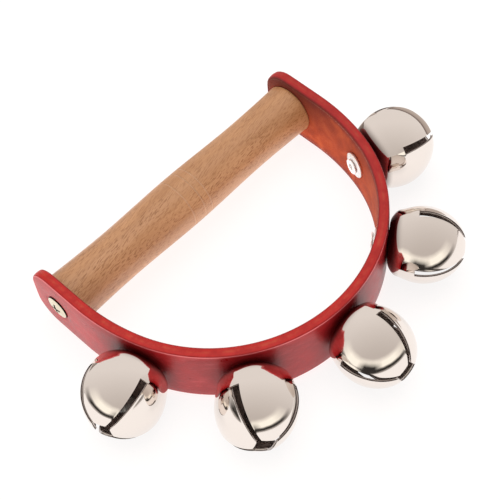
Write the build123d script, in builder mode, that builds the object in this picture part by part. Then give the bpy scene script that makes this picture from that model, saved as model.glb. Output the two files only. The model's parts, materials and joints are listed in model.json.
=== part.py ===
from build123d import *
import math
import os

# Hand sleigh bells: a turned wooden handle, a leather strap bent into a D and
# screwed to the handle's two ends, and five cross-slot jingle bells riveted to
# the strap's outer face. Each bell holds a loose steel ball.
#
# Frame, in millimetres: the origin is the handle's centre, +X runs along the
# handle, the strap bows out towards -Y, and Z runs across the strap's width.

# ---- handle ----
handle_length = 114.0
handle_end_radius = 10.0
handle_waist_radius = 9.35
handle_belly_radius = 9.95
handle_waist_place = 32.0
handle_edge_round = 0.6
groove_places = (-3.2, 2.1, 5.4)
groove_radius = 0.45
groove_depth = 0.28

# ---- strap ----
strap_thickness = 4.0
strap_width = 27.0
strap_depth = 76.8
strap_end_straight = 12.0
strap_shoulder_turn = 18.0
tongue_reach = 12.2
tongue_corner_radius = 9.5
strap_edge_round = 0.5

# ---- screws ----
screw_head_radius = 4.5
screw_head_depth = 1.8
screw_head_land = 0.25
screw_head_dome = 0.95
screw_shank_radius = 1.9
screw_length = 22.0
screw_tip_length = 4.0
screw_recess_span = 4.6
screw_recess_width = 0.95
screw_recess_depth = 1.7
screw_recess_taper = 12.0
screw_recess_turns = {"left": 12.0, "right": 40.0}
screw_seat_clearance = 0.12
screw_wood_clearance = 0.02

# ---- bells ----
bell_pitch = 36.2
bell_radius = 15.0
bell_flattening = 3.0
bell_base_flat_radius = 6.0
bell_wall = 0.8
bell_slot_end_angle = 100.0
bell_slot_end_width = 2.4
bell_slot_tip_width = 1.2
bell_mouth_side = 6.0
bell_swivel_gap = 0.05
# How far each bell was turned about its rivet when it was set, in degrees.
bell_turns = (55.0, 24.0, 71.0, 77.0, 45.0)

# ---- rivets and washers ----
rivet_shank_radius = 2.0
rivet_bore_radius = 1.4
rivet_head_radius = 4.5
rivet_head_thickness = 0.8
rivet_running_clearance = 0.08
rivet_strap_clearance = 0.05
rivet_roll_radius = 3.0
rivet_roll_thickness = 0.6
rivet_rim_round = 0.2
washer_radius = 5.0
washer_rim_thickness = 0.5
washer_dome_height = 1.2
washer_crest_slope = 0.08
washer_seat_clearance = 0.05

# ---- clappers ----
clapper_radius = 4.0
clapper_clearance = 0.3

# ---- sizes that follow ----
handle_half = handle_length / 2
strap_half_span = handle_half + strap_thickness / 2
strap_outer_x = strap_half_span + strap_thickness / 2
bell_base_height = bell_radius - bell_flattening
bell_centre_offset = strap_thickness / 2 + bell_swivel_gap + bell_base_height

# The strap's middle line is a straight end, a shoulder arc and an apex arc, each
# tangent to the next. The two radii follow from the span and the depth.
turn = math.radians(strap_shoulder_turn)
arcs_depth = strap_depth - strap_end_straight
arc_closure = 1 - math.sin(turn) - math.cos(turn)
shoulder_span_part = strap_half_span * (1 - math.sin(turn))
shoulder_radius = (shoulder_span_part - arcs_depth * math.cos(turn)) / arc_closure
apex_depth_part = arcs_depth * (1 - math.cos(turn))
apex_radius = (apex_depth_part - strap_half_span * math.sin(turn)) / arc_closure
apex_arc_length = apex_radius * (math.pi / 2 - turn)
shoulder_arc_length = shoulder_radius * turn


def strap_station(distance):
    """Plane on the strap's middle line, at a distance along it from the apex.

    Its Z points outward from the strap, its Y along +Z of the object, and its X
    along the strap. Positive distances run towards +X."""
    side = math.copysign(1, distance)
    run = abs(distance)
    if run <= apex_arc_length:
        swing = run / apex_radius
        along = apex_radius * math.sin(swing)
        across = apex_radius - strap_depth - apex_radius * math.cos(swing)
    elif run <= apex_arc_length + shoulder_arc_length:
        swing = math.pi / 2 - turn + (run - apex_arc_length) / shoulder_radius
        along = strap_half_span - shoulder_radius * (1 - math.sin(swing))
        across = -strap_end_straight - shoulder_radius * math.cos(swing)
    else:
        swing = math.pi / 2
        along = strap_half_span
        across = run - apex_arc_length - shoulder_arc_length - strap_end_straight
    outward = (side * math.sin(swing), -math.cos(swing), 0)
    strap_run = (math.cos(swing), side * math.sin(swing), 0)
    return Plane(origin=(side * along, across, 0), x_dir=strap_run, z_dir=outward)


def axial_plane(station):
    """Plane through a station's outward axis: X is the radius, Y runs outward."""
    return Plane(origin=station.origin, x_dir=station.x_dir, z_dir=-station.y_dir)


def spun(plane, angle):
    """The same plane, turned about its own normal by an angle in degrees."""
    x_dir = plane.x_dir.rotate(Axis((0, 0, 0), plane.z_dir), angle)
    return Plane(origin=plane.origin, x_dir=x_dir, z_dir=plane.z_dir)


def save(sub_part, label):
    """Label a finished sub-part and write its STEP file."""
    sub_part.part.label = label
    export_step(sub_part.part, f"parts/{label}.step")


def make_handle():
    """Turned grip: full at the ends and in the middle, with two shallow waists."""
    with BuildPart() as handle:
        with BuildSketch(Plane.XY):
            with BuildLine():
                contour = Spline(
                    (-handle_half, handle_end_radius),
                    (-handle_waist_place, handle_waist_radius),
                    (0, handle_belly_radius),
                    (handle_waist_place, handle_waist_radius),
                    (handle_half, handle_end_radius),
                )
                Line(contour @ 1, (handle_half, 0))
                Line((handle_half, 0), (-handle_half, 0))
                Line((-handle_half, 0), contour @ 0)
            make_face()
        revolve(axis=Axis.X)
        end_rims = handle.edges().filter_by(GeomType.CIRCLE).sort_by(Axis.X)
        fillet([end_rims[0], end_rims[-1]], radius=handle_edge_round)
        groove_centre = handle_belly_radius + groove_radius - groove_depth
        with BuildSketch(Plane.XY):
            with Locations([(place, groove_centre) for place in groove_places]):
                Circle(groove_radius)
        revolve(axis=Axis.X, mode=Mode.SUBTRACT)
        pilot_depth = screw_length - strap_thickness
        for side in (-1, 1):
            end_face = Plane(origin=(side * handle_half, 0, 0), z_dir=(side, 0, 0))
            with Locations(end_face):
                Hole(screw_shank_radius + screw_wood_clearance, depth=pilot_depth)
    return handle


def strap_edge(offset):
    """Right half of the line that runs beside the strap's middle line."""
    x = strap_half_span + offset
    end = Line((x, tongue_reach), (x, -strap_end_straight))
    shoulder = JernArc(end @ 1, end % 1, shoulder_radius + offset, -strap_shoulder_turn)
    JernArc(shoulder @ 1, shoulder % 1, apex_radius + offset, strap_shoulder_turn - 90)


def make_strap(stations):
    """Leather strap, bent into a D, with rounded tongues and its seven holes."""
    half_thickness = strap_thickness / 2
    head_flare = screw_head_radius - screw_shank_radius
    with BuildPart() as strap:
        with BuildSketch(Plane.XY):
            with BuildLine():
                strap_edge(half_thickness)
                strap_edge(-half_thickness)
                inner_tip = (strap_half_span - half_thickness, tongue_reach)
                outer_tip = (strap_half_span + half_thickness, tongue_reach)
                Line(inner_tip, outer_tip)
                mirror(about=Plane.YZ)
            make_face()
        extrude(amount=strap_width / 2, both=True)
        tongue_corners = strap.edges().filter_by(Axis.X)
        fillet(tongue_corners, radius=tongue_corner_radius)
        long_edges = strap.faces().sort_by(Axis.Z)[0].edges()
        long_edges += strap.faces().sort_by(Axis.Z)[-1].edges()
        fillet(long_edges, radius=strap_edge_round)
        for station in stations:
            with BuildSketch(station):
                Circle(rivet_shank_radius + rivet_strap_clearance)
            extrude(amount=strap_thickness, both=True, mode=Mode.SUBTRACT)
        for side in (-1, 1):
            end_face = Plane(origin=(side * strap_outer_x, 0, 0), z_dir=(side, 0, 0))
            with Locations(end_face):
                CounterSinkHole(
                    radius=screw_shank_radius + screw_seat_clearance,
                    counter_sink_radius=screw_head_radius + screw_seat_clearance,
                    depth=2 * strap_thickness,
                    counter_sink_angle=2 * math.degrees(math.atan(head_flare / screw_head_depth)),
                )
    return strap


def make_screw(side, recess_turn):
    """Wood screw whose low domed head sits sunk in the strap's outer face."""
    seat = Plane(origin=(side * strap_outer_x, 0, 0), x_dir=(0, 1, 0), z_dir=(side, 0, 0))
    half_section = Plane(origin=seat.origin, x_dir=(0, 1, 0), z_dir=(0, 0, side))
    turned_seat = spun(seat, recess_turn).offset(screw_head_dome)
    with BuildPart() as screw:
        with BuildSketch(half_section):
            with BuildLine():
                top = (0, -screw_head_dome)
                rim = (screw_head_radius, -screw_head_land)
                crown = TangentArc(top, rim, tangent=(1, 0))
                Polyline(
                    crown @ 1,
                    (screw_head_radius, 0),
                    (screw_shank_radius, screw_head_depth),
                    (screw_shank_radius, screw_length - screw_tip_length),
                    (0, screw_length),
                    top,
                )
            make_face()
        revolve(axis=Axis(seat.origin, (side, 0, 0)))
        with BuildSketch(turned_seat):
            Rectangle(screw_recess_span, screw_recess_width)
            Rectangle(screw_recess_width, screw_recess_span)
        extrude(amount=-screw_recess_depth, taper=screw_recess_taper, mode=Mode.SUBTRACT)
    return screw


def shell_section(radius, base_height, corner_radius, base_flat):
    """Half outline of a bell's skin, from the axis at its base to its pole."""
    lean = math.atan2(base_height - corner_radius, base_flat)
    join = (radius * math.cos(lean), -radius * math.sin(lean))
    flat = Line((0, -base_height), (base_flat, -base_height))
    TangentArc(flat @ 1, join, tangent=(1, 0))
    CenterArc((0, 0), radius, -math.degrees(lean), 90 + math.degrees(lean))


def make_bell_shell(centre, bell_turn):
    """Round shell on a flattened base, with four slots that meet a square mouth."""
    base_reach = bell_base_height**2 + bell_base_flat_radius**2
    corner_radius = (bell_radius**2 - base_reach) / (2 * (bell_radius - bell_base_height))
    slot_end = bell_radius * math.cos(math.radians(bell_slot_end_angle))
    turned = spun(centre, bell_turn)
    with BuildPart() as shell:
        for shrink, mode in ((0, Mode.ADD), (bell_wall, Mode.SUBTRACT)):
            skin_radius = bell_radius - shrink
            base_height = bell_base_height - shrink
            with BuildSketch(axial_plane(centre)):
                with BuildLine():
                    shell_section(
                        skin_radius, base_height, corner_radius - shrink, bell_base_flat_radius
                    )
                    Line((0, skin_radius), (0, -base_height))
                make_face()
            revolve(axis=Axis(centre.origin, centre.z_dir), mode=mode)
        with BuildSketch(centre):
            Circle(rivet_shank_radius + rivet_running_clearance)
        extrude(amount=-bell_radius, mode=Mode.SUBTRACT)
        for quarter in range(4):
            facing = spun(turned, 90 * quarter)
            slot_plane = Plane(origin=centre.origin, x_dir=facing.y_dir, z_dir=facing.x_dir)
            with BuildSketch(slot_plane):
                with BuildLine():
                    Polyline(
                        (-bell_slot_end_width / 2, slot_end),
                        (bell_slot_end_width / 2, slot_end),
                        (bell_slot_tip_width / 2, bell_radius),
                        (-bell_slot_tip_width / 2, bell_radius),
                        close=True,
                    )
                make_face()
            extrude(amount=bell_radius + bell_wall, mode=Mode.SUBTRACT)
        with BuildSketch(turned):
            Rectangle(bell_mouth_side, bell_mouth_side, rotation=45)
        extrude(amount=bell_radius, mode=Mode.SUBTRACT)
    return shell


def make_clapper(centre):
    """Loose ball, lying at the lowest place inside its bell."""
    drop = bell_radius - bell_wall - clapper_clearance - clapper_radius
    rest = centre.origin - Vector(0, 0, drop)
    with BuildPart() as clapper:
        with Locations(rest):
            Sphere(clapper_radius)
    return clapper


def washer_seat_height():
    """Height at which a flat washer clears the strap's hollow inner face."""
    hollow_radius = apex_radius - strap_thickness / 2
    hollow = washer_radius**2 / (2 * hollow_radius)
    return hollow + washer_seat_clearance


def make_washer(station):
    """Domed washer on the strap's inner face."""
    seat = -strap_thickness / 2 - washer_seat_height()
    hole = rivet_shank_radius + rivet_strap_clearance
    with BuildPart() as washer:
        with BuildSketch(axial_plane(station)):
            with BuildLine():
                rim = (washer_radius, seat - washer_rim_thickness)
                crest = (hole, seat - washer_dome_height)
                Line(crest, (hole, seat))
                Line((hole, seat), (washer_radius, seat))
                Line((washer_radius, seat), rim)
                TangentArc(crest, rim, tangent=(1, washer_crest_slope))
            make_face()
        revolve(axis=Axis(station.origin, station.z_dir))
    return washer


def make_rivet(station):
    """Tubular rivet: a flat head in the bell and a rolled end over the washer."""
    base_inside = bell_centre_offset - bell_base_height + bell_wall
    head_low = base_inside + bell_swivel_gap
    head_high = head_low + rivet_head_thickness
    roll_high = -strap_thickness / 2 - washer_seat_height() - washer_dome_height
    roll_high -= 2 * washer_seat_clearance
    roll_low = roll_high - rivet_roll_thickness
    with BuildPart() as rivet:
        with BuildSketch(axial_plane(station)):
            with BuildLine():
                Polyline(
                    (rivet_bore_radius, head_high),
                    (rivet_head_radius, head_high),
                    (rivet_head_radius, head_low),
                    (rivet_shank_radius, head_low),
                    (rivet_shank_radius, roll_high),
                    (rivet_roll_radius, roll_high),
                    (rivet_roll_radius, roll_low),
                    (rivet_bore_radius, roll_low),
                    close=True,
                )
            make_face()
        revolve(axis=Axis(station.origin, station.z_dir))
        rims = rivet.edges().filter_by(GeomType.CIRCLE)
        outer_rims = rims.filter_by(lambda rim: rim.radius > rivet_shank_radius + rivet_rim_round)
        fillet(outer_rims, radius=rivet_rim_round)
    return rivet


os.makedirs("parts", exist_ok=True)
stations = [strap_station((number - 2) * bell_pitch) for number in range(5)]

save(make_handle(), "handle")
save(make_strap(stations), "strap")
for name, side in (("left", -1), ("right", 1)):
    save(make_screw(side, screw_recess_turns[name]), f"screw_{name}")
for number, station in enumerate(stations, start=1):
    bell_centre = station.offset(bell_centre_offset)
    save(make_bell_shell(bell_centre, bell_turns[number - 1]), f"bell_shell_{number}")
    save(make_clapper(bell_centre), f"clapper_{number}")
    save(make_rivet(station), f"rivet_{number}")
    save(make_washer(station), f"rivet_washer_{number}")
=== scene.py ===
import json
import math
from collections import namedtuple

import bpy
import numpy as np
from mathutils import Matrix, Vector


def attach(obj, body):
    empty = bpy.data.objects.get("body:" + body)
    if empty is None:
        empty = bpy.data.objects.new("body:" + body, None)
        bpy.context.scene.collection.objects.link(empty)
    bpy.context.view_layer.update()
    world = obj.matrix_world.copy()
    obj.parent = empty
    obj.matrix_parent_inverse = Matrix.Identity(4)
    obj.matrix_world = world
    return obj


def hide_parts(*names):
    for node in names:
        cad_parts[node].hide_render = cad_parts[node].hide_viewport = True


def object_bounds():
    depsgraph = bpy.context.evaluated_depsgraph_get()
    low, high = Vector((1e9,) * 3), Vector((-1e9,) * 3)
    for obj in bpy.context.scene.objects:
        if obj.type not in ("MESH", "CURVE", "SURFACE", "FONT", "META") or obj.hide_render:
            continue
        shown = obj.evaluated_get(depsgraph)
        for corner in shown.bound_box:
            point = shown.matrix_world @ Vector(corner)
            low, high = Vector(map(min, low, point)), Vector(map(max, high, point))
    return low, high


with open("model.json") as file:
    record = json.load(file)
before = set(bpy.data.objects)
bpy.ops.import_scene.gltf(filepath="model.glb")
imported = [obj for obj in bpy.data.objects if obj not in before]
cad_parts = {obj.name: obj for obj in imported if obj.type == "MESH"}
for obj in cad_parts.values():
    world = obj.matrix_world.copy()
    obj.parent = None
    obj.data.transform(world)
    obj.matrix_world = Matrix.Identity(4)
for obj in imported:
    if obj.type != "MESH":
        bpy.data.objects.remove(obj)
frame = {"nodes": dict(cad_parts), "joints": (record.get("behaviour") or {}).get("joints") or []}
cad_low, cad_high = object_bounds()

# The object's sizes are in millimetres, as in the CAD source, and build_mesh() turns them
# into metres. The studio round it is in metres.
MM = 0.001


# ---------------------------------------------------------------- mesh helpers
def build_mesh(name, points, faces, materials, face_materials=None, sharp_angle=None):
    """A smooth-shaded mesh object from points in millimetres and lists of corner numbers."""
    mesh = bpy.data.meshes.new(name)
    mesh.from_pydata((np.asarray(points, float) * MM).tolist(), [], faces)
    mesh.validate()
    for material in materials:
        mesh.materials.append(material)
    if face_materials is not None:
        mesh.polygons.foreach_set("material_index", face_materials)
    mesh.polygons.foreach_set("use_smooth", [True] * len(mesh.polygons))
    if sharp_angle is not None:
        mesh.set_sharp_from_angle(angle=math.radians(sharp_angle))
    mesh.update()
    made = bpy.data.objects.new(name, mesh)
    bpy.context.scene.collection.objects.link(made)
    return made


def add_float(made, name, values):
    """A number for each point of the mesh, for a material to read."""
    attribute = made.data.attributes.new(name, "FLOAT", "POINT")
    attribute.data.foreach_set("value", np.asarray(values, np.float32))


def strip(first, second, closed=True):
    """Quads between two rows of point numbers of the same length."""
    count = len(first)
    last = count if closed else count - 1
    return [
        (first[i], first[(i + 1) % count], second[(i + 1) % count], second[i])
        for i in range(last)
    ]


def smooth_step(low, high, value):
    """0 up to low, 1 from high on, and a smooth rise between them."""
    t = np.clip((value - low) / (high - low), 0.0, 1.0)
    return t * t * (3 - 2 * t)


def hump(place, centre, width):
    """1 at the centre, falling away smoothly to both sides."""
    return math.exp(-(((place - centre) / width) ** 2))


ON_AXIS = 1e-6


def revolve(outline, segments):
    """Points and faces of an outline (distance along the axis, radius) spun about X."""
    points, rows = [], []
    for along, radius in outline:
        if radius < ON_AXIS:
            rows.append([len(points)] * segments)
            points.append((along, 0.0, 0.0))
            continue
        rows.append(list(range(len(points), len(points) + segments)))
        for k in range(segments):
            angle = 2 * math.pi * k / segments
            points.append((along, radius * math.cos(angle), radius * math.sin(angle)))
    faces = []
    for first, second in zip(rows, rows[1:]):
        for quad in strip(first, second):
            corners = list(dict.fromkeys(quad))
            if len(corners) > 2:
                faces.append(corners)
    return points, faces


# ---------------------------------------------------------------- node helpers
class Graph:
    """A node tree with short calls to add nodes and join them."""

    def __init__(self, tree):
        self.tree = tree
        tree.nodes.clear()

    def node(self, kind, inputs=(), **settings):
        made = self.tree.nodes.new("ShaderNode" + kind)
        for key, value in settings.items():
            setattr(made, key, value)
        for key, value in dict(inputs).items():
            if isinstance(value, bpy.types.NodeSocket):
                self.tree.links.new(value, made.inputs[key])
            else:
                made.inputs[key].default_value = value
        return made

    def maths(self, operation, first, second=0.0, third=0.0):
        return self.node(
            "Math", {0: first, 1: second, 2: third}, operation=operation
        ).outputs[0]

    def tint(self, colour, cover, tone, share=1.0):
        """Lays a tone over a colour: nowhere where cover is 0, by share where it is 1."""
        amount = self.maths("MULTIPLY", cover, share)
        inputs = {0: amount, 6: colour, 7: (*tone, 1)}
        return self.node("Mix", inputs, data_type="RGBA").outputs[2]

    def ramp(self, value, *stops):
        """Turns a number into another, or into a colour, by (place, value) stops."""
        made = self.node("ValToRGB", {0: value})
        elements = made.color_ramp.elements
        while len(elements) < len(stops):
            elements.new(1.0)
        for element, (place, level) in zip(elements, stops):
            element.position = place
            colour = level if isinstance(level, tuple) else (level, level, level)
            element.color = (*colour, 1.0)
        return made.outputs[0]

    def millimetres(self, stretch=(1.0, 1.0, 1.0), tilt=0.0):
        """The object's own coordinates in millimetres, tilted about Z, then stretched."""
        coords = self.node("TexCoord").outputs["Object"]
        if tilt:
            turn = {"Vector": coords, "Angle": math.radians(-tilt)}
            coords = self.node("VectorRotate", turn, rotation_type="Z_AXIS").outputs[0]
        scale = tuple(1000.0 * s for s in stretch)
        return self.node("Mapping", {"Vector": coords, "Scale": scale}).outputs[0]

    def noise(self, vector, scale=1.0, detail=2.0, roughness=0.5, distortion=0.0):
        inputs = {
            "Vector": vector,
            "Scale": scale,
            "Detail": detail,
            "Roughness": roughness,
            "Distortion": distortion,
        }
        return self.node("TexNoise", inputs).outputs[0]

    def cells(self, vector, scale):
        return self.node("TexVoronoi", {"Vector": vector, "Scale": scale}).outputs[0]

    def attribute(self, name):
        return self.node("Attribute", attribute_name=name).outputs["Fac"]

    def nearness(self, reach, open_level, closed_level):
        """How hemmed in a spot is by surfaces within so many mm: 0 open, 1 closed."""
        probe = self.node("AmbientOcclusion", {"Distance": reach * MM}, samples=12)
        return self.ramp(probe.outputs["AO"], (closed_level, 1.0), (open_level, 0.0))

    def bump(self, height, depth):
        """A bump whose full height is depth, in millimetres."""
        inputs = {"Height": height, "Distance": depth * MM, "Strength": 1.0}
        return self.node("Bump", inputs).outputs[0]

    def surface(self, inputs):
        shader = self.node("BsdfPrincipled", inputs)
        self.node("OutputMaterial", {"Surface": shader.outputs[0]})

    def glow(self, colour):
        """A surface that only shines, with the given colour."""
        shine = self.node("Emission", {"Color": colour, "Strength": 1.0})
        self.node("OutputMaterial", {"Surface": shine.outputs[0]})


def new_material(name):
    material = bpy.data.materials.new(name)
    material.use_nodes = True
    return material, Graph(material.node_tree)


# ---------------------------------------------------------------- materials
def beech():
    """Sealed beech: warm tan with broad streaks, fine fibre and short dark flecks."""
    dark_tan = (0.335, 0.157, 0.064)
    tan = (0.41, 0.203, 0.090)
    pale_tan = (0.47, 0.246, 0.118)
    fibre_brown = (0.30, 0.134, 0.050)
    fleck_brown = (0.205, 0.073, 0.017)
    bare_wood = (0.56, 0.36, 0.24)
    material, g = new_material("beech")
    streak_grid = g.millimetres((0.02, 0.22, 0.22), tilt=4.0)
    streaks = g.noise(streak_grid, detail=3.0, roughness=0.55, distortion=0.4)
    fibre = g.noise(g.millimetres((0.16, 3.4, 3.4), tilt=9.0), detail=3.0, roughness=0.62)
    fleck_grid = g.millimetres((0.40, 2.9, 2.9), tilt=12.0)
    fleck_field = g.noise(fleck_grid, detail=1.0, roughness=0.4)
    fleck_cover = g.noise(g.millimetres((0.05, 0.16, 0.16)))
    flecks = g.maths(
        "MULTIPLY",
        g.ramp(fleck_field, (0.54, 0.0), (0.62, 1.0)),
        g.ramp(fleck_cover, (0.35, 0.45), (0.60, 1.0)),
    )
    colour = g.ramp(streaks, (0.28, dark_tan), (0.50, tan), (0.74, pale_tan))
    colour = g.tint(colour, g.ramp(fibre, (0.38, 0.0), (0.70, 0.5)), fibre_brown)
    colour = g.tint(colour, flecks, fleck_brown, 0.75)
    colour = g.tint(colour, g.attribute("groove"), bare_wood, 0.45)
    height = g.maths("SUBTRACT", fibre, g.maths("MULTIPLY", flecks, 0.8))
    g.surface(
        {
            "Base Color": colour,
            "Roughness": g.ramp(fibre, (0.2, 0.40), (0.8, 0.52)),
            "Normal": g.bump(height, 0.05),
            "Specular IOR Level": 0.4,
            "Coat Weight": 0.38,
            "Coat Roughness": 0.3,
        }
    )
    return material


def leather_face():
    """Coated outer face: deep red under a smooth, slightly grained gloss."""
    deep_red = (0.215, 0.007, 0.009)
    red = (0.30, 0.012, 0.014)
    rim_red = (0.38, 0.014, 0.017)
    rubbed_pink = (0.66, 0.11, 0.12)
    painted_highlight_pink = (0.80, 0.26, 0.27)
    shaded_red = (0.095, 0.003, 0.004)
    material, g = new_material("leather_face")
    place = g.millimetres()
    mottle = g.noise(place, 0.22, detail=4.0, roughness=0.6)
    pores = g.cells(place, 1.5)
    creases = g.noise(place, 1.1, detail=4.0, roughness=0.6, distortion=0.6)
    edge = g.attribute("edge_distance")
    colour = g.ramp(mottle, (0.30, deep_red), (0.70, red))
    colour = g.tint(colour, g.ramp(edge, (0.0, 1.0), (0.16, 0.0)), rim_red, 0.5)
    rub = g.noise(g.millimetres((0.16, 0.16, 0.5)), detail=4.0, roughness=0.65)
    colour = g.tint(colour, g.ramp(rub, (0.52, 0.0), (0.75, 0.2)), rubbed_pink)
    # Painted highlight: a thin pale line on the rounded rim of the face, where the rounding catches
    # light.
    rim_highlight = g.ramp(edge, (0.02, 0.0), (0.045, 1.0), (0.075, 0.0))
    colour = g.tint(colour, rim_highlight, painted_highlight_pink, 0.55)
    # Painted shade: the face darkens where the bells and the handle hem it in.
    closed = g.nearness(15.0, open_level=0.90, closed_level=0.36)
    colour = g.tint(colour, closed, shaded_red, 0.72)
    height = g.maths("ADD", g.maths("MULTIPLY", pores, 0.35), creases)
    g.surface(
        {
            "Base Color": colour,
            "Roughness": g.ramp(mottle, (0.3, 0.27), (0.7, 0.36)),
            "Normal": g.bump(height, 0.045),
            "Specular IOR Level": 0.20,
            "Coat Weight": 0.03,
            "Coat Roughness": 0.18,
        }
    )
    return material


def leather_edge():
    """Dyed and burnished cut edge: bright red, with a browner core and dark corners."""
    red = (0.31, 0.007, 0.005)
    bright_red = (0.42, 0.012, 0.009)
    core_brown = (0.36, 0.075, 0.030)
    corner_red = (0.13, 0.008, 0.010)
    shaded_edge_red = (0.16, 0.012, 0.014)
    material, g = new_material("leather_edge")
    along = g.noise(g.millimetres((0.25, 0.25, 1.2)), detail=4.0, roughness=0.6)
    fibre = g.noise(g.millimetres((1.6, 1.6, 4.0)), detail=3.0, roughness=0.6)
    across = g.attribute("edge_height")
    core = g.ramp(across, (0.30, 0.0), (0.50, 1.0), (0.70, 0.0))
    core = g.maths("MULTIPLY", core, g.ramp(along, (0.42, 0.0), (0.66, 1.0)))
    colour = g.ramp(along, (0.3, red), (0.7, bright_red))
    colour = g.tint(colour, core, core_brown, 0.45)
    corner = g.ramp(across, (0.05, 1.0), (0.20, 0.0), (0.82, 0.0), (0.95, 1.0))
    colour = g.tint(colour, corner, corner_red, 0.8)
    # Painted shade: the edge is darker on the right arm of the strap, up to 60 mm from the middle.
    sideways = g.node("SeparateXYZ", {0: g.millimetres()}).outputs[0]
    right_arm_shade = g.ramp(g.maths("MULTIPLY", sideways, 1 / 60), (-0.1, 0.0), (1.0, 0.30))
    colour = g.tint(colour, right_arm_shade, shaded_edge_red)
    g.surface(
        {
            "Base Color": colour,
            "Roughness": g.ramp(fibre, (0.3, 0.38), (0.7, 0.55)),
            "Normal": g.bump(g.maths("ADD", along, fibre), 0.07),
            "Specular IOR Level": 0.25,
        }
    )
    return material


def leather_flesh():
    """Bare inner side: orange tan suede that darkens to red-brown near the edges."""
    dark_suede = (0.20, 0.026, 0.007)
    suede = (0.27, 0.037, 0.009)
    pale_suede = (0.35, 0.064, 0.016)
    nap_brown = (0.18, 0.030, 0.014)
    dye_red = (0.11, 0.013, 0.012)
    frayed = (0.48, 0.26, 0.20)
    stain_and_shade_brown = (0.10, 0.022, 0.016)
    material, g = new_material("leather_flesh")
    place = g.millimetres()
    blotch = g.noise(place, 0.16, detail=4.0, roughness=0.6, distortion=0.4)
    nap = g.noise(place, 2.4, detail=5.0, roughness=0.7)
    fibre_grid = g.millimetres((0.5, 0.5, 3.4))
    fibre = g.noise(fibre_grid, detail=4.0, roughness=0.65, distortion=0.8)
    edge = g.attribute("edge_distance")
    colour = g.ramp(blotch, (0.28, dark_suede), (0.52, suede), (0.76, pale_suede))
    colour = g.tint(colour, g.ramp(nap, (0.35, 0.0), (0.75, 0.4)), nap_brown)
    ragged = g.maths("ADD", edge, g.maths("MULTIPLY", blotch, 0.22))
    colour = g.tint(colour, g.ramp(ragged, (0.18, 1.0), (0.42, 0.0)), dye_red, 0.8)
    fray = g.ramp(edge, (0.09, 0.0), (0.12, 1.0), (0.15, 0.0))
    fray = g.maths("MULTIPLY", fray, g.ramp(nap, (0.48, 0.0), (0.60, 0.7)))
    colour = g.tint(colour, fray, frayed)
    # Dye stain and painted shade, darkest at the handle's ends and toward the top edge.
    colour = g.tint(colour, g.attribute("handle_stain_and_shade"), stain_and_shade_brown, 0.75)
    g.surface(
        {
            "Base Color": colour,
            "Roughness": g.ramp(nap, (0.3, 0.70), (0.7, 0.88)),
            "Normal": g.bump(g.maths("ADD", nap, fibre), 0.09),
            "Specular IOR Level": 0.08,
        }
    )
    return material


# Painted shade where a metal is hemmed in by surfaces within reach, in millimetres: on the bells
# next to the strap, and in the screw heads' recesses.
PaintedShade = namedtuple("PaintedShade", "reach open_level closed_level share colour")
NEAR_STRAP = PaintedShade(6.0, 0.92, 0.50, 0.70, (0.12, 0.08, 0.075))
IN_RECESS = PaintedShade(2.5, 0.97, 0.72, 1.0, (0.03, 0.022, 0.015))
# Colour of the painted shade on a bell's foot, next to the strap.
FOOT_SHADE = (0.10, 0.065, 0.06)


def metal(
    name, colour, rough, metallic=1.0, grime=0.0, ripple=0.0, ripple_scale=0.12, painted_shade=None, foot=0.0
):
    """Plated metal: a fine haze and, if asked, a soft ripple, painted shade where other surfaces
    hem it in, and painted shade on the foot.
    """
    material, g = new_material(name)
    place = g.millimetres()
    haze = g.noise(place, 0.35, detail=5.0, roughness=0.65)
    dimmed = tuple(c * (1 - grime) for c in colour)
    shade = g.ramp(haze, (0.35, dimmed), (0.6, colour))
    # Painted shade: a bell's foot, next to the strap, is darkened.
    if foot:
        shade = g.tint(shade, g.attribute("foot"), FOOT_SHADE, foot)
    # Painted shade: darkens the colour where other surfaces hem the metal in.
    if painted_shade:
        closed = g.nearness(painted_shade.reach, painted_shade.open_level, painted_shade.closed_level)
        shade = g.tint(shade, closed, painted_shade.colour, painted_shade.share)
    inputs = {
        "Base Color": shade,
        "Roughness": g.ramp(haze, (0.35, rough * 1.4), (0.65, rough * 0.8)),
        "Metallic": metallic,
    }
    if ripple:
        inputs["Normal"] = g.bump(g.noise(place, ripple_scale), ripple)
    g.surface(inputs)
    return material


def emission_card(name, colour, strength, fade_low, fade_high, fade_side, wobble):
    """A card seen only in reflections, fading to nothing at its borders by its UV map."""
    material, g = new_material(name)
    across, up, _ = g.node("SeparateXYZ", {0: g.node("TexCoord").outputs["UV"]}).outputs
    drift = g.noise(g.node("TexCoord").outputs["Object"], 2.2)
    up = g.maths("ADD", up, g.maths("MULTIPLY_ADD", drift, wobble, -wobble / 2))
    low = g.ramp(up, (0.0, 0.0), (fade_low, 1.0))
    high = g.ramp(up, (1 - fade_high, 1.0), (1.0, 0.0))
    side = g.ramp(across, (0.0, 0.0), (fade_side, 1.0), (1 - fade_side, 1.0), (1.0, 0.0))
    cover = g.maths("MULTIPLY", g.maths("MULTIPLY", low, high), side)
    shine = g.node("Emission", {"Color": (*colour, 1), "Strength": strength})
    clear = g.node("BsdfTransparent")
    mixed = g.node("MixShader", {0: cover, 1: clear.outputs[0], 2: shine.outputs[0]})
    g.node("OutputMaterial", {"Surface": mixed.outputs[0]})
    return material


wood = beech()
face_leather = leather_face()
edge_leather = leather_edge()
flesh_leather = leather_flesh()
nickel = metal(
    "nickel", (0.868, 0.796, 0.743), rough=0.055, ripple=0.03, painted_shade=NEAR_STRAP, foot=0.5
)
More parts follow.
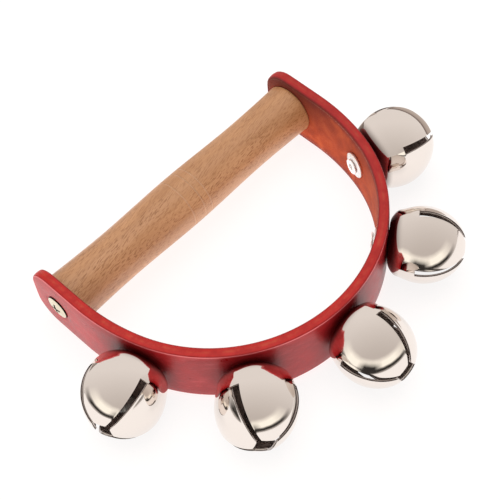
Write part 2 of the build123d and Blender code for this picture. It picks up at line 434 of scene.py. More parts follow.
# Painted shade: the inside of a bell is a darker, duller copy of the nickel.
shaded_nickel_inside = metal(
    "shaded_nickel_inside", (0.34, 0.26, 0.23), rough=0.60, metallic=0.2, grime=0.5
)
polished_nickel = metal("polished_nickel", (0.98, 0.97, 0.96), rough=0.36, grime=0.03)
rivet_steel = metal(
    "rivet_steel", (0.96, 0.94, 0.93), rough=0.42, metallic=0.5, grime=0.05
)
ball_steel = metal(
    "ball_steel", (0.50, 0.49, 0.48), rough=0.35, grime=0.3, ripple=0.05, ripple_scale=0.8
)
screw_steel = metal(
    "screw_steel", (0.88, 0.80, 0.62), rough=0.26, grime=0.12, painted_shade=IN_RECESS
)


# ---------------------------------------------------------------- handle
HANDLE_HALF = 57.0
BELLY_RADIUS = 9.95
WAIST_PLACE = 32.0
WAIST_RADIUS = 9.35
HANDLE_END_RADIUS = 10.0
HANDLE_FLARE = 1.7
HANDLE_EDGE_ROUND = 0.6
HANDLE_EDGE_STEPS = 6
HANDLE_END_RINGS = (8.0, 6.0, 4.0)
HANDLE_ROWS = 150
HANDLE_SEGMENTS = 128
GROOVES = (-3.2, 2.1, 5.4)
GROOVE_HALF_WIDTH = 0.42
GROOVE_DEPTH = 0.28
GROOVE_STEPS = np.linspace(-1.3, 1.3, 15)
PILOT_RADIUS = 1.92
PILOT_DEPTH = 18.0
PILOT_CHAMFER = 0.2
PILOT_TIP = 1.0


def handle_radius(along):
    """Radius of the turned grip: full in the middle and at both ends, waisted between."""
    x = abs(along)
    if x < WAIST_PLACE:
        return BELLY_RADIUS + (WAIST_RADIUS - BELLY_RADIUS) * smooth_step(0, WAIST_PLACE, x)
    share = (x - WAIST_PLACE) / (HANDLE_HALF - WAIST_PLACE)
    return WAIST_RADIUS + (HANDLE_END_RADIUS - WAIST_RADIUS) * share**HANDLE_FLARE


def groove_amount(along):
    """1 at the bottom of a turned ring groove, 0 away from it."""
    nearest = min(abs(along - place) for place in GROOVES)
    if nearest >= GROOVE_HALF_WIDTH:
        return 0.0
    return 0.5 + 0.5 * math.cos(math.pi * nearest / GROOVE_HALF_WIDTH)


def handle_outline():
    """Outline from one blind screw hole, round the grip, to the other."""
    flat_end = HANDLE_HALF - HANDLE_EDGE_ROUND
    places = set(np.linspace(-flat_end, flat_end, HANDLE_ROWS).tolist())
    for place in GROOVES:
        places.update((place + GROOVE_STEPS * GROOVE_HALF_WIDTH).tolist())
    middle = [
        (x, handle_radius(x) - GROOVE_DEPTH * groove_amount(x)) for x in sorted(places)
    ]
    end_radius = handle_radius(flat_end)
    right = []
    for step in range(1, HANDLE_EDGE_STEPS + 1):
        angle = math.radians(90 * step / HANDLE_EDGE_STEPS)
        x = flat_end + HANDLE_EDGE_ROUND * math.sin(angle)
        right.append((x, end_radius - HANDLE_EDGE_ROUND * (1 - math.cos(angle))))
    right += [(HANDLE_HALF, radius) for radius in HANDLE_END_RINGS]
    right += [
        (HANDLE_HALF, PILOT_RADIUS + PILOT_CHAMFER),
        (HANDLE_HALF - PILOT_CHAMFER, PILOT_RADIUS),
        (HANDLE_HALF - PILOT_DEPTH, PILOT_RADIUS),
        (HANDLE_HALF - PILOT_DEPTH - PILOT_TIP, 0.0),
    ]
    left = [(-x, radius) for x, radius in reversed(right)]
    return left + middle + right


points, faces = revolve(handle_outline(), HANDLE_SEGMENTS)
handle = build_mesh("beech_handle", points, faces, [wood], sharp_angle=50)
add_float(handle, "groove", [groove_amount(x) for x, _, _ in points])
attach(handle, "frame")
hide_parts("handle")


# ---------------------------------------------------------------- strap
STRAP_HALF_THICKNESS = 2.0
STRAP_HALF_WIDTH = 13.5
STRAP_HALF_SPAN = 59.0
STRAP_DEPTH = 76.8
STRAP_STRAIGHT = 12.0
STRAP_TURN = math.radians(18.0)
SHOULDER_RADIUS = 80.21
APEX_RADIUS = 57.91
TONGUE_REACH = 12.2
TONGUE_CORNER = 9.5
BELL_PITCH = 36.2
RIVET_HOLE = 2.05
SCREW_RIM = 4.62
SCREW_SHANK_HOLE = 2.02
SCREW_SINK_DEPTH = 1.85

# The rounded, slightly bulging edge, and the faces' fall toward it.
EDGE_ROUND = 0.7
EDGE_STEPS = 5
EDGE_CROWN = 0.10
CROWN_SHARES = (0.6, 0.2, -0.2, -0.6)
COATED_ROWS = 2
FACE_DROP = 0.13
FACE_DROP_WIDTH = 3.4

# The dent and the ripple that the screw's pull leaves in the outer face.
SCREW_DENT = 0.22
SCREW_DENT_WIDTH = 1.1
RIPPLE_HEIGHT = 0.03
RIPPLE_RATE = 2.6
RIPPLE_PLACE = 6.4
RIPPLE_WIDTH = 2.4

# The dark dye stain and painted shade on the inner face round the handle's ends.
STAIN_AND_SHADE_FULL = 9.0
STAIN_AND_SHADE_END = 30.0
STAIN_AND_SHADE_STRETCH = 0.6
STAIN_AND_SHADE_LOW = -6.0
STAIN_AND_SHADE_HIGH = 13.0

# Grid of a face. Each hole lies in a square block of cells that opens into rings.
HOLE_CELL = 1.5
HALF_BLOCK = 4
BLOCK_CELLS = 2 * HALF_BLOCK
LONG_CELL = 1.6
LINE_PAST_SCREW = 1.35
TIP_STEPS = 8
RING_STEPS = 4
RIVET_MARGIN = 0.25
HEAD_MARGIN = 0.3
SHANK_MARGIN = 0.2
ACROSS = (0.0, 1.5, 3.0, 4.5, 6.0, 7.6, 9.2, 10.6, 11.6, 12.3, 12.8)
ACROSS_LINES = [-a for a in reversed(ACROSS[1:])] + list(ACROSS)
BLOCK_ROW = ACROSS_LINES.index(-HALF_BLOCK * HOLE_CELL)

APEX_LENGTH = APEX_RADIUS * (math.pi / 2 - STRAP_TURN)
SHOULDER_LENGTH = SHOULDER_RADIUS * STRAP_TURN
STRAIGHT_START = APEX_LENGTH + SHOULDER_LENGTH
SCREW_PLACE = STRAIGHT_START + STRAP_STRAIGHT
STRAP_END = SCREW_PLACE + TONGUE_REACH

# Rows of a hole's wall from the outer face to the inner one: radius, height.
HOLE_WALLS = {
    "rivet": (
        (RIVET_HOLE + 0.08, 1.93),
        (RIVET_HOLE, 1.75),
        (RIVET_HOLE, -1.75),
        (RIVET_HOLE + 0.08, -1.93),
    ),
    "screw": (
        (SCREW_RIM + 0.12, 1.72),
        (SCREW_RIM, 1.55),
        (SCREW_RIM - 0.1, 1.40),
        (SCREW_SHANK_HOLE, STRAP_HALF_THICKNESS - SCREW_SINK_DEPTH - 0.35),
        (SCREW_SHANK_HOLE, -1.8),
        (SCREW_SHANK_HOLE + 0.07, -1.94),
    ),
}
OUTER, EDGE, FLESH = 0, 1, 2


def strap_frame(distance):
    """Point on the strap's middle line and the outward direction there."""
    side = math.copysign(1, distance)
    run = abs(distance)
    if run <= APEX_LENGTH:
        swing = run / APEX_RADIUS
        x = APEX_RADIUS * math.sin(swing)
        y = APEX_RADIUS - STRAP_DEPTH - APEX_RADIUS * math.cos(swing)
    elif run <= STRAIGHT_START:
        swing = math.pi / 2 - STRAP_TURN + (run - APEX_LENGTH) / SHOULDER_RADIUS
        x = STRAP_HALF_SPAN - SHOULDER_RADIUS * (1 - math.sin(swing))
        y = -STRAP_STRAIGHT - SHOULDER_RADIUS * math.cos(swing)
    else:
        swing = math.pi / 2
        x = STRAP_HALF_SPAN
        y = run - STRAIGHT_START - STRAP_STRAIGHT
    return side * x, y, side * math.sin(swing), -math.cos(swing)


def strap_point(distance, across, height):
    """Point from the distance along the strap, the place across and the height outward."""
    x, y, out_x, out_y = strap_frame(distance)
    return (x + out_x * height, y + out_y * height, across)


def strap_half_width(distance, inset):
    """Half width of the strap's outline, moved inward by inset, at a distance along it."""
    past = abs(distance) - (STRAP_END - TONGUE_CORNER)
    if past <= 0:
        return STRAP_HALF_WIDTH - inset
    corner = TONGUE_CORNER - inset
    flat_tip = STRAP_HALF_WIDTH - TONGUE_CORNER
    return flat_tip + math.sqrt(max(corner**2 - past**2, 0.0))


def edge_reach(distance, across):
    """How far inside the strap's outline a spot lies."""
    from_side = strap_half_width(distance, 0.0) - abs(across)
    return min(from_side, STRAP_END - abs(distance))


def handle_stain_and_shade(distance, across):
    """How stained and shaded a spot is, as dye stain and painted shade: most near the handle's end
    and toward the strap's top edge.
    """
    from_handle = math.hypot(abs(distance) - SCREW_PLACE, across * STAIN_AND_SHADE_STRETCH)
    near = 1 - smooth_step(STAIN_AND_SHADE_FULL, STAIN_AND_SHADE_END, from_handle)
    return near * smooth_step(STAIN_AND_SHADE_LOW, STAIN_AND_SHADE_HIGH, across)


def face_height(distance, across, outer):
    """How far a face lies from the middle of the thickness, with its wear and dents."""
    rise = smooth_step(EDGE_ROUND, FACE_DROP_WIDTH, edge_reach(distance, across))
    height = STRAP_HALF_THICKNESS - FACE_DROP * (1 - rise)
    if outer:
        from_screw = math.hypot(abs(distance) - SCREW_PLACE, across)
        height -= SCREW_DENT * hump(from_screw, SCREW_RIM, SCREW_DENT_WIDTH)
        wave = RIPPLE_HEIGHT * math.cos(from_screw * RIPPLE_RATE)
        height -= wave * hump(from_screw, RIPPLE_PLACE, RIPPLE_WIDTH)
    return height


class StrapMesh:
    """Collects the strap's points, faces and the numbers its materials read."""

    def __init__(self):
        self.points, self.faces, self.kinds = [], [], []
        self.edge_distance, self.edge_height, self.stain_and_shade = [], [], []

    def add(self, distance, across, height):
        self.points.append(strap_point(distance, across, height))
        inside = max(edge_reach(distance, across), 0.0)
        self.edge_distance.append(inside / STRAP_HALF_WIDTH)
        self.edge_height.append((height + STRAP_HALF_THICKNESS) / (2 * STRAP_HALF_THICKNESS))
        self.stain_and_shade.append(handle_stain_and_shade(distance, across))
        return len(self.points) - 1

    def quad(self, corners, kind, flip=False):
        corners = list(dict.fromkeys(corners))
        if len(corners) > 2:
            self.faces.append(corners[::-1] if flip else corners)
            self.kinds.append(kind)

    def band(self, first, second, kind, flip=False):
        for corners in strip(first, second):
            self.quad(corners, kind, flip)


def strap_lines():
    """Distances of the grid lines: even cells round each hole, finer ones at the tips."""
    patch = [HOLE_CELL * k for k in range(-HALF_BLOCK, HALF_BLOCK + 1)]
    half = patch[HALF_BLOCK:]
    for centre in (BELL_PITCH, 2 * BELL_PITCH, SCREW_PLACE):
        previous = half[-1]
        start = centre + patch[0]
        count = max(1, round((start - previous) / LONG_CELL))
        half += [previous + (start - previous) * k / count for k in range(1, count)]
        if centre == SCREW_PLACE:
            half += [centre + p for p in patch[: HALF_BLOCK + 1]]
        else:
            half += [centre + p for p in patch]
    half.append(SCREW_PLACE + LINE_PAST_SCREW)
    corner = TONGUE_CORNER - EDGE_ROUND
    for step in range(TIP_STEPS + 1):
        swing = math.radians(90 * step / TIP_STEPS)
        half.append(STRAP_END - TONGUE_CORNER + corner * math.sin(swing))
    return [-d for d in reversed(half[1:])] + half


def hole_blocks(lines):
    """For each hole in order: its distance, the first grid line of its block, its kind."""
    found = [(number * BELL_PITCH, "rivet") for number in range(-2, 3)]
    found += [(side * SCREW_PLACE, "screw") for side in (-1, 1)]
    array = np.array(lines)
    return [
        (distance, int(np.argmin(abs(array - distance))) - HALF_BLOCK, kind)
        for distance, kind in sorted(found)
    ]


strap_mesh = StrapMesh()
lines = strap_lines()
blocks = hole_blocks(lines)


def block_border(first_line):
    """Grid places round a hole's block, in order, starting at its low corner."""
    low, high = first_line, first_line + BLOCK_CELLS
    down, up = BLOCK_ROW, BLOCK_ROW + BLOCK_CELLS
    border = [(i, down) for i in range(low, high)]
    border += [(high, j) for j in range(down, up)]
    border += [(i, up) for i in range(high, low, -1)]
    border += [(low, j) for j in range(up, down, -1)]
    return border


def block_places(skip):
    """Grid places in all the blocks, without the first lines of each that are skipped."""
    return {
        (i, j)
        for _, first, _ in blocks
        for i in range(first + skip, first + BLOCK_CELLS)
        for j in range(BLOCK_ROW + skip, BLOCK_ROW + BLOCK_CELLS)
    }


def grid_place(i, j):
    """Distance and place across of a grid point, squeezed to the tongue's outline."""
    distance = lines[i]
    squeeze = strap_half_width(distance, EDGE_ROUND) / (STRAP_HALF_WIDTH - EDGE_ROUND)
    return distance, ACROSS_LINES[j] * squeeze


def border_angles(centre, border):
    """Angles at which the places of a block's border lie round its hole."""
    places = [grid_place(*place) for place in border]
    return [math.atan2(across, distance - centre) for distance, across in places]


def ring_radius(hole, outer):
    """Where a face ends round a hole, a little outside the hole's wall."""
    if hole == "rivet":
        return RIVET_HOLE + RIVET_MARGIN
    return SCREW_RIM + HEAD_MARGIN if outer else SCREW_SHANK_HOLE + SHANK_MARGIN


def strap_face(outer):
    """One face as a grid whose blocks open into rings round the holes."""
    sign = 1 if outer else -1
    kind = OUTER if outer else FLESH
    open_cells = block_places(0)
    open_points = block_places(1)
    grid = {}
    for i in range(len(lines)):
        for j in range(len(ACROSS_LINES)):
            if (i, j) not in open_points:
                distance, across = grid_place(i, j)
                height = sign * face_height(distance, across, outer)
                grid[i, j] = strap_mesh.add(distance, across, height)
    for i in range(len(lines) - 1):
        for j in range(len(ACROSS_LINES) - 1):
            if (i, j) not in open_cells:
                corners = (grid[i, j], grid[i + 1, j], grid[i + 1, j + 1], grid[i, j + 1])
                strap_mesh.quad(corners, kind, flip=not outer)
    rings = []
    for centre, first, hole in blocks:
        border = block_border(first)
        angles = border_angles(centre, border)
        rim = ring_radius(hole, outer)
        previous = [grid[place] for place in border]
        for step in range(1, RING_STEPS + 1):
            share = step / RING_STEPS
            row = []
            for place, angle in zip(border, angles):
                distance, across = grid_place(*place)
                distance += (centre + rim * math.cos(angle) - distance) * share
                across += (rim * math.sin(angle) - across) * share
                height = sign * face_height(distance, across, outer)
                row.append(strap_mesh.add(distance, across, height))
            strap_mesh.band(previous, row, kind, flip=not outer)
            previous = row
        rings.append(previous)
    return grid, rings


def outline_places():
    """Grid places round the strap's whole outline, in order."""
    last_i, last_j = len(lines) - 1, len(ACROSS_LINES) - 1
    around = [(i, 0) for i in range(last_i)]
    around += [(last_i, j) for j in range(last_j)]
    around += [(i, last_j) for i in range(last_i, 0, -1)]
    around += [(0, j) for j in range(last_j, 0, -1)]
    return around


def outline_normal(distance, across):
    """Direction in the strap's flat plane that points out of its outline."""
    past_d = max(abs(distance) - (STRAP_END - TONGUE_CORNER), 0.0)
    past_a = max(abs(across) - (STRAP_HALF_WIDTH - TONGUE_CORNER), 0.0)
    length = math.hypot(past_d, past_a)
    side_d = math.copysign(1, distance)
    side_a = math.copysign(1, across)
    return side_d * past_d / length, side_a * past_a / length


def edge_profile():
    """Rows down the cut edge from the outer face to the inner: how far out, how high."""
    face_top = STRAP_HALF_THICKNESS - FACE_DROP
    side_top = face_top - EDGE_ROUND
    corner = []
    for step in range(1, EDGE_STEPS + 1):
        angle = math.radians(90 * step / EDGE_STEPS)
        out = EDGE_ROUND * math.sin(angle) * (1 - EDGE_CROWN / EDGE_ROUND)
        corner.append((out, face_top - EDGE_ROUND * (1 - math.cos(angle))))
    middle = [
        (EDGE_ROUND - EDGE_CROWN * share**2, side_top * share) for share in CROWN_SHARES
    ]
    return corner + middle + [(out, -high) for out, high in reversed(corner)]


def close_edge(outer_grid, inner_grid):
    """Faces round the strap's outline, from the outer face over the edge to the inner."""
    around = outline_places()
    previous = [outer_grid[place] for place in around]
    for number, (out, high) in enumerate(edge_profile()):
        row = []
        for place in around:
            distance, across = grid_place(*place)
            normal_d, normal_a = outline_normal(distance, across)
            row.append(strap_mesh.add(distance + normal_d * out, across + normal_a * out, high))
        strap_mesh.band(previous, row, OUTER if number < COATED_ROWS else EDGE, flip=True)
        previous = row
    strap_mesh.band(previous, [inner_grid[place] for place in around], FLESH, flip=True)


def line_holes(outer_rings, inner_rings):
    """Walls of the holes, from the outer face's rings to the inner face's."""
    for (centre, first, hole), outer_row, inner_row in zip(blocks, outer_rings, inner_rings):
        angles = border_angles(centre, block_border(first))
        previous = outer_row
        for radius, high in HOLE_WALLS[hole]:
            row = []
            for angle in angles:
                distance = centre + radius * math.cos(angle)
                row.append(strap_mesh.add(distance, radius * math.sin(angle), high))
            strap_mesh.band(previous, row, EDGE)
            previous = row
        strap_mesh.band(previous, inner_row, EDGE)


outer_grid, outer_rings = strap_face(outer=True)
inner_grid, inner_rings = strap_face(outer=False)
close_edge(outer_grid, inner_grid)
line_holes(outer_rings, inner_rings)
strap = build_mesh(
    "leather_strap",
    strap_mesh.points,
    strap_mesh.faces,
    [face_leather, edge_leather, flesh_leather],
    strap_mesh.kinds,
    sharp_angle=60,
)
add_float(strap, "edge_distance", strap_mesh.edge_distance)
add_float(strap, "edge_height", strap_mesh.edge_height)
add_float(strap, "handle_stain_and_shade", strap_mesh.stain_and_shade)
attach(strap, "frame")
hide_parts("strap")


# ---------------------------------------------------------------- bells
BELL_RADIUS = 15.0
BELL_WALL = 0.8
BELL_BASE = 12.0
BELL_FLAT = 8.0
BARREL_END = -5.0
SHOULDER_PLACE = -9.0
BELL_HOLE = 2.08
SLOT_END_ANGLE = 98.0
SLOT_END_HALF = 1.2
SLOT_TIP_HALF = 0.6
MOUTH_HALF = 3.15
BELL_TURNS = (55.0, 24.0, 71.0, 77.0, 45.0)

# Petals are flattened to the full above one height and not at all below another.
CREASE = math.radians(32.0)
ROUND_BELOW = -11.0
FLATTENED_ABOVE = -7.0

# Pleats are pressed into the base under the ends of the slots and fade away below them.
PLEAT_LENGTH = 3.0
PLEAT_DEPTH = 0.26
PLEAT_FADE = 1.3
PLEAT_LEAST = 0.16
PLEAT_LEAST_RADIUS = 3.5
GAP_STEPS = (-1.0, -0.72, -0.36, 0.0, 0.36, 0.72, 1.0)
GAP_SINK = (0.0, 0.45, 0.9, 1.0, 0.9, 0.45, 0.0)

# Rows of the base: its foot, its two bends (how far from the corner, rows) and its barrel.
FOOT_ROWS = 5
FOOT_ROW_WIDTH = 0.9
FOOT_BEND = (1.5, 5)
SHOULDER_BEND = (2.8, 9)
BARREL_ROWS = 6

# A petal's grid. Its points are found in steps, as its width hangs on their height.
PETAL_COLUMNS = 24
PETAL_ROWS = 36
SOLVE_STEPS = 8
PLEAT_SINE_LIMIT = 0.9
EDGE_SINE_LIMIT = 0.95

# Rows round the rim: how far out of the sheet's cut edge, how deep below the outer skin.
RIM_ROUND = 0.32
RIM_PROFILE = (
    (0.13, 0.03),
    (0.24, 0.10),
    (0.30, 0.20),
    (0.32, 0.34),
    (0.32, 0.58),
    (0.26, 0.72),
    (0.13, 0.79),
)
RIM_LEAST_STRETCH = 0.6
# Faces of a bell: plated nickel outside; the inner skin, the rim's inner strip and the hole's wall
# take a darker, duller copy of the nickel as painted shade.
PLATED, SHADED_INSIDE = 0, 1

# Depths behind the bell's centre between which the painted shade on the foot sets in.
FOOT_SHADE_START = 7.2
FOOT_SHADE_FULL = 9.8


def slot_half(z):
    """Half width of the metal's opening at a height, before the rim is rounded over."""
    low = BELL_RADIUS * math.cos(math.radians(SLOT_END_ANGLE))
    share = (z - low) / (BELL_RADIUS - low)
    return SLOT_END_HALF + (SLOT_TIP_HALF - SLOT_END_HALF) * share + RIM_ROUND


def petal_squeeze(phi, z):
    """Factor on the radius: four shallow arcs that meet in a crease at each slot."""
    from_middle = phi % (math.pi / 2) - math.pi / 4
    arc = math.sqrt(0.5) / math.sin(CREASE)
    back = arc * math.cos(CREASE) - math.sqrt(0.5)
    reach = math.sqrt(arc**2 - (back * math.sin(from_middle)) ** 2)
    square = reach - back * math.cos(from_middle)
    return 1 + (square - 1) * smooth_step(ROUND_BELOW, FLATTENED_ABOVE, z)


def bell_point(phi, radius, z):
    r = radius * petal_squeeze(phi, z)
    return (r * math.cos(phi), r * math.sin(phi), z)


def bend(before, here, after, reach, steps):
    """Points round a corner, starting and ending at a distance reach from it."""
    here = Vector(here)
    start = here + (Vector(before) - here).normalized() * reach
    end = here + (Vector(after) - here).normalized() * reach
    shares = [step / steps for step in range(steps + 1)]
    return [tuple(start * (1 - t) ** 2 + here * 2 * t * (1 - t) + end * t**2) for t in shares]


def base_rows():
    """Outline of the closed half: flat foot, cone, shoulder and barrel, up to the slots."""
    barrel_radius = math.sqrt(BELL_RADIUS**2 - BARREL_END**2)
    shoulder_radius = barrel_radius - (SHOULDER_PLACE - BARREL_END) * BARREL_END / barrel_radius
    foot = (BELL_FLAT, -BELL_BASE)
    shoulder = (shoulder_radius, SHOULDER_PLACE)
    rows = [(BELL_HOLE + FOOT_ROW_WIDTH * k, -BELL_BASE) for k in range(FOOT_ROWS)]
    rows += bend((BELL_HOLE, -BELL_BASE), foot, shoulder, *FOOT_BEND)
    rows += bend(foot, shoulder, (barrel_radius, BARREL_END), *SHOULDER_BEND)
    start = math.degrees(math.acos(BARREL_END / BELL_RADIUS))
    for step in range(BARREL_ROWS + 1):
        theta = math.radians(start + (SLOT_END_ANGLE - start) * step / BARREL_ROWS)
        rows.append((BELL_RADIUS * math.sin(theta), BELL_RADIUS * math.cos(theta)))
    return rows


def add_base_ring(points, radius, z, gap_half):
    """Adds a ring of the base's points and gives their numbers, a pleat first in each quarter."""
    below = math.acos(max(-1.0, min(1.0, z / BELL_RADIUS))) - math.radians(SLOT_END_ANGLE)
    pleat = max(0.0, 1 - max(0.0, below * BELL_RADIUS) / PLEAT_LENGTH)
    half = gap_half * (PLEAT_LEAST + (1 - PLEAT_LEAST) * pleat)
    delta = math.asin(min(half / max(radius, PLEAT_LEAST_RADIUS), PLEAT_SINE_LIMIT))
    first = len(points)
    for quarter in range(4):
        mid = quarter * math.pi / 2
        for step, sink in zip(GAP_STEPS[:-1], GAP_SINK[:-1]):
            x, y, _ = bell_point(mid + step * delta, radius, z)
            depth = PLEAT_DEPTH * sink * pleat**PLEAT_FADE
            kept = 1 - depth / math.hypot(x, y)
            points.append((x * kept, y * kept, z))
        for column in range(PETAL_COLUMNS):
            phi = mid + delta + (math.pi / 2 - 2 * delta) * column / PETAL_COLUMNS
            points.append(bell_point(phi, radius, z))
    return list(range(first, len(points)))


def petal_point(mid, side, share):
    """Point of a petal: side runs across it from slot to slot, share up to the mouth."""
    phi = math.pi * side / 2
    for _ in range(SOLVE_STEPS):
        reach = (MOUTH_HALF + RIM_ROUND) / math.cos(phi - math.pi / 4)
        reach /= petal_squeeze(phi, BELL_RADIUS)
        tip = math.asin(min(reach / BELL_RADIUS, 1.0))
        theta = math.radians(SLOT_END_ANGLE)
        theta += (tip - theta) * share
        z = BELL_RADIUS * math.cos(theta)
        edge = math.asin(min(slot_half(z) / (BELL_RADIUS * math.sin(theta)), EDGE_SINE_LIMIT))
        phi = edge + (math.pi / 2 - 2 * edge) * side
    return bell_point(mid + phi, BELL_RADIUS * math.sin(theta), z)


def bell_sheet():
    """Outer skin of a bell: points, quads, the loop round mouth and slots, and the hole."""
    points, faces, rings, loop = [], [], [], []
    rows = base_rows()
    gap_half = slot_half(rows[-1][1])
    for radius, z in rows:
        rings.append(add_base_ring(points, radius, z, gap_half))
    for first, second in zip(rings, rings[1:]):
        faces += strip(first, second)
    top = rings[-1]
    gap = len(GAP_STEPS) - 1
    for quarter in range(4):
        start = quarter * (gap + PETAL_COLUMNS)
        petal = [[top[(start + gap + c) % len(top)] for c in range(PETAL_COLUMNS + 1)]]
        for row in range(1, PETAL_ROWS + 1):
            share = row / PETAL_ROWS
            made = []
            for column in range(PETAL_COLUMNS + 1):
                made.append(len(points))
                side = column / PETAL_COLUMNS
                points.append(petal_point(quarter * math.pi / 2, side, share))
            petal.append(made)
        for first, second in zip(petal, petal[1:]):
            faces += strip(first, second, closed=False)
        loop += top[start : start + gap]
        loop += [row[0] for row in petal[:-1]]
        loop += petal[-1][:-1]
        loop += [row[-1] for row in reversed(petal[1:])]
    return points, faces, loop, rings[0]


def unit(rows):
    """Rows of an array made one long."""
    return rows / np.linalg.norm(rows, axis=1)[:, None]


def point_normals(points, faces):
    """Unit normals at the points of a sheet of quads."""
    co = np.array(points)
    quads = np.array(faces)
    face_normal = np.cross(co[quads[:, 2]] - co[quads[:, 0]], co[quads[:, 3]] - co[quads[:, 1]])
    total = np.zeros_like(co)
    for corner in range(4):
        np.add.at(total, quads[:, corner], face_normal)
    return unit(total)


def rim_outward(ring, normal):
    """Way out of the sheet at each point of its rim, longer where the rim turns."""
    behind = unit(ring - np.roll(ring, 1, axis=0))
    ahead = unit(np.roll(ring, -1, axis=0) - ring)
    out_behind = np.cross(behind, normal)
    outward = unit(out_behind + np.cross(ahead, normal))
    stretch = np.clip((outward * out_behind).sum(1), RIM_LEAST_STRETCH, 1.0)
    return outward / stretch[:, None]


def bell_solid():
    """Closed shell: outer skin, inner skin, rounded rim and the rivet hole's wall."""
    sheet_points, sheet_faces, loop, hole = bell_sheet()
    normals = point_normals(sheet_points, sheet_faces)
    skin = np.array(sheet_points)
    count = len(skin)
    points = [*skin, *(skin - normals * BELL_WALL)]
    inner_faces = [tuple(count + c for c in reversed(face)) for face in sheet_faces]
    parts = [(PLATED, sheet_faces), (SHADED_INSIDE, inner_faces)]
    ring, normal = skin[loop], normals[loop]
    outward = rim_outward(ring, normal)
    previous = loop
    for out, depth in RIM_PROFILE:
        row = list(range(len(points), len(points) + len(loop)))
        points += list(ring + outward * out - normal * depth)
        parts.append((PLATED, strip(row, previous)))
        previous = row
    parts.append((SHADED_INSIDE, strip([count + c for c in loop], previous)))
    parts.append((SHADED_INSIDE, strip(hole, [count + c for c in hole])))
    faces = [face for _, made in parts for face in made]
    kinds = [kind for kind, made in parts for _ in made]
    return np.array(points), faces, kinds


def bell_place(joint, turn):
    """Centre of a bell in millimetres, and its axes: along a slot, across it and outward."""
    outward = Vector(joint["axis"]).normalized()
    along = Vector((0, 0, 1)).cross(outward).normalized()
    angle = math.radians(turn)
    slot_way = along * math.cos(angle) + outward.cross(along) * math.sin(angle)
    axes = np.array([slot_way, outward.cross(slot_way), outward])
    return np.array(Vector(joint["pos_m"]) / MM), axes


bell_points, bell_faces, bell_kinds = bell_solid()
foot_values = [smooth_step(FOOT_SHADE_START, FOOT_SHADE_FULL, -z) for z in bell_points[:, 2]]
joints = {joint["name"]: joint for joint in frame["joints"]}
for number, turn in enumerate(BELL_TURNS, start=1):
    middle, axes = bell_place(joints[f"bell_{number}_swivel"], turn)
    placed = bell_points @ axes + middle
    bell = build_mesh(
        f"bell_{number}_nickel", placed, bell_faces, [nickel, shaded_nickel_inside], bell_kinds
    )
    add_float(bell, "foot", foot_values)
    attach(bell, f"bell_{number}")
    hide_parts(f"bell_shell_{number}")


# ---------------------------------------------------------------- small CAD parts
# The first beginning that fits a node's name counts, so rivet_washer stands before rivet.
CAD_MATERIALS = (
    ("screw", screw_steel),
    ("rivet_washer", polished_nickel),
    ("rivet", rivet_steel),
    ("clapper", ball_steel),
)
for name, node in frame["nodes"].items():
    for beginning, material in CAD_MATERIALS:
        if name.startswith(beginning):
            node.data.materials.clear()
            node.data.materials.append(material)
            break


# ---------------------------------------------------------------- floor, light, camera
# Places and sizes here are in metres, and most are measured from the object's middle.
middle = (cad_low + cad_high) / 2
floor_z = cad_low.z
FLOOR_HALF = 6.0
SQUARE = ((-1, -1), (1, -1), (1, 1), (-1, 1))
CARD_COLUMNS = 48
CARD_ROWS = 12
REFLECTED_ONLY = ("camera", "diffuse", "shadow")

# A darker floor seen only in reflections: it widens away from the object on the far side.
FAR_AZIMUTH = math.radians(47)
FAR_OUTLINE = ((0.075, -1), (3, -3), (3, 3), (0.075, 1))
FAR_LIFT = 0.0006

# The sky is palest toward this side.
SKY_SIDE = (0.68, 0.73, 0.0)
CAMERA_OFFSET = (-0.16312, -0.17731, 0.37714)
CAMERA_TURN = (33.48, 3.63, -46.09)


def stage_mesh(name, corners, faces, material, unseen_by=()):
    """A mesh of the studio, in metres, hidden from the kinds of ray named."""
    mesh = bpy.data.meshes.new(name)
    mesh.from_pydata(corners, [], faces)
    mesh.materials.append(material)
    made = bpy.data.objects.new(name, mesh)
    bpy.context.scene.collection.objects.link(made)
    for ray in unseen_by:
        setattr(made, "visible_" + ray, False)
    return made


def floor_white():
    """A white floor that mostly shines by itself, so that only faint shadows show."""
    material, g = new_material("floor_white")
    g.surface(
        {
            "Base Color": (0.15, 0.147, 0.146, 1),
            "Roughness": 0.8,
            "Specular IOR Level": 0.0,
            "Emission Color": (1.0, 0.985, 0.98, 1),
            "Emission Strength": 0.87,
        }
    )
    return material


def wall_pale():
    """The studio's pale walls."""
    material, g = new_material("wall_pale")
    g.glow((0.925, 0.907, 0.90, 1))
    return material


def far_floor_grey():
    """The far floor, darker with the distance from the object."""
    material, g = new_material("far_floor_grey")
    place = g.node("TexCoord").outputs["Object"]
    reach = g.node("VectorMath", {0: place}, operation="LENGTH").outputs["Value"]
    g.glow(g.ramp(reach, (0.10, (0.56, 0.48, 0.43)), (0.42, (0.20, 0.155, 0.135))))
    return material


def far_floor_corners():
    """Corners of the far floor, from the distance along its azimuth and to its side."""
    away = Vector((math.cos(FAR_AZIMUTH), math.sin(FAR_AZIMUTH), 0))
    aside = Vector((-away.y, away.x, 0))
    spots = [middle + away * far + aside * side for far, side in FAR_OUTLINE]
    return [(spot.x, spot.y, floor_z + FAR_LIFT) for spot in spots]


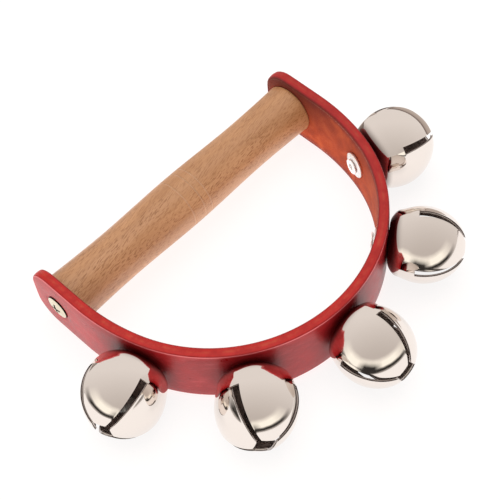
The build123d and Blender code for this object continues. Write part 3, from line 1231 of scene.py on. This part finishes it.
def reflector(name, material, azimuth, spread, low, high, radius, unseen_by=REFLECTED_ONLY):
    """A curved card round the object, from one height to another. Angles in degrees."""
    corners, uvs = [], []
    for j in range(CARD_ROWS + 1):
        for i in range(CARD_COLUMNS + 1):
            a = math.radians(azimuth - spread / 2 + spread * i / CARD_COLUMNS)
            e = math.radians(low + (high - low) * j / CARD_ROWS)
            direction = Vector((math.cos(a) * math.cos(e), math.sin(a) * math.cos(e), math.sin(e)))
            corners.append(middle + direction * radius)
            uvs.append((i / CARD_COLUMNS, j / CARD_ROWS))
    quads = []
    for j in range(CARD_ROWS):
        for i in range(CARD_COLUMNS):
            low_left = j * (CARD_COLUMNS + 1) + i
            high_left = low_left + CARD_COLUMNS + 1
            quads.append((low_left, low_left + 1, high_left + 1, high_left))
    card = stage_mesh(name, corners, quads, material, unseen_by)
    layer = card.data.uv_layers.new(name="card")
    for loop in card.data.loops:
        layer.data[loop.index].uv = uvs[loop.vertex_index]


def studio_world():
    """A pale sky, brighter on one side."""
    world = bpy.data.worlds.new("studio")
    world.use_nodes = True
    g = Graph(world.node_tree)
    way = g.node("TexCoord").outputs["Generated"]
    toward = g.node("VectorMath", {0: way, 1: SKY_SIDE}, operation="DOT_PRODUCT")
    share = g.maths("MULTIPLY_ADD", toward.outputs["Value"], 0.5, 0.5)
    colour = g.ramp(share, (0.15, (0.60, 0.555, 0.52)), (0.85, (0.84, 0.80, 0.77)))
    background = g.node("Background", {"Color": colour, "Strength": 1.0})
    g.node("OutputWorld", {"Surface": background.outputs[0]})
    return world


def area_light(name, place, size, watts, colour):
    """A round lamp aimed at the object that doesn't show in reflections."""
    data = bpy.data.lights.new(name, "AREA")
    data.shape = "DISK"
    data.size = size
    data.energy = watts
    data.color = colour
    made = bpy.data.objects.new(name, data)
    made.location = place
    made.rotation_euler = (middle - place).to_track_quat("-Z", "Y").to_euler()
    made.visible_glossy = False
    bpy.context.scene.collection.objects.link(made)
    return made


floor_corners = [(x * FLOOR_HALF, y * FLOOR_HALF, floor_z) for x, y in SQUARE]
stage_mesh("floor", floor_corners, [(0, 1, 2, 3)], floor_white())
bpy.context.scene.world = studio_world()

cream = emission_card(
    "cream_card", (1.0, 0.97, 0.88), 1.18, fade_low=0.2, fade_high=0.4, fade_side=0.2, wobble=0.12
)
dark = emission_card(
    "dark_card", (0.9, 0.8, 0.7), 0.035, fade_low=0.35, fade_high=0.4, fade_side=0.15, wobble=0.35
)
flag = emission_card(
    "flag_card", (0.9, 0.8, 0.75), 0.04, fade_low=0.1, fade_high=0.45, fade_side=0.3, wobble=0.3
)
reflector("near_light", cream, azimuth=-145, spread=180, low=8, high=36, radius=1.30)
reflector("near_dark", dark, azimuth=-145, spread=190, low=0, high=14, radius=1.20)
reflector("dark_flag", flag, azimuth=-146, spread=56, low=0, high=30, radius=1.10)
reflector(
    "backdrop",
    wall_pale(),
    azimuth=0,
    spread=360,
    low=-2,
    high=88,
    radius=5.5,
    unseen_by=("glossy", "diffuse", "shadow"),
)
stage_mesh("far_floor", far_floor_corners(), [(0, 1, 2, 3)], far_floor_grey(), REFLECTED_ONLY)

overhead_place = middle + Vector((0.1, 0.25, 1.3))
area_light("overhead", overhead_place, size=1.4, watts=13.5, colour=(1.0, 0.98, 0.95))
fill_place = middle + Vector((-0.95, -0.35, 0.40))
area_light("low_fill", fill_place, size=0.8, watts=3.2, colour=(1.0, 0.96, 0.93))
glow_place = Vector((middle.x, middle.y, floor_z + 0.001))
glow = area_light("floor_glow", glow_place, size=0.5, watts=1.7, colour=(1.0, 0.95, 0.92))
glow.visible_camera = False

camera_data = bpy.data.cameras.new("camera")
camera_data.lens = 92.68
camera_data.sensor_width = 36.0
camera = bpy.data.objects.new("camera", camera_data)
camera.location = middle + Vector(CAMERA_OFFSET)
camera.rotation_euler = [math.radians(a) for a in CAMERA_TURN]
bpy.context.scene.collection.objects.link(camera)
bpy.context.scene.camera = camera
bpy.context.scene.view_settings.view_transform = "Standard"
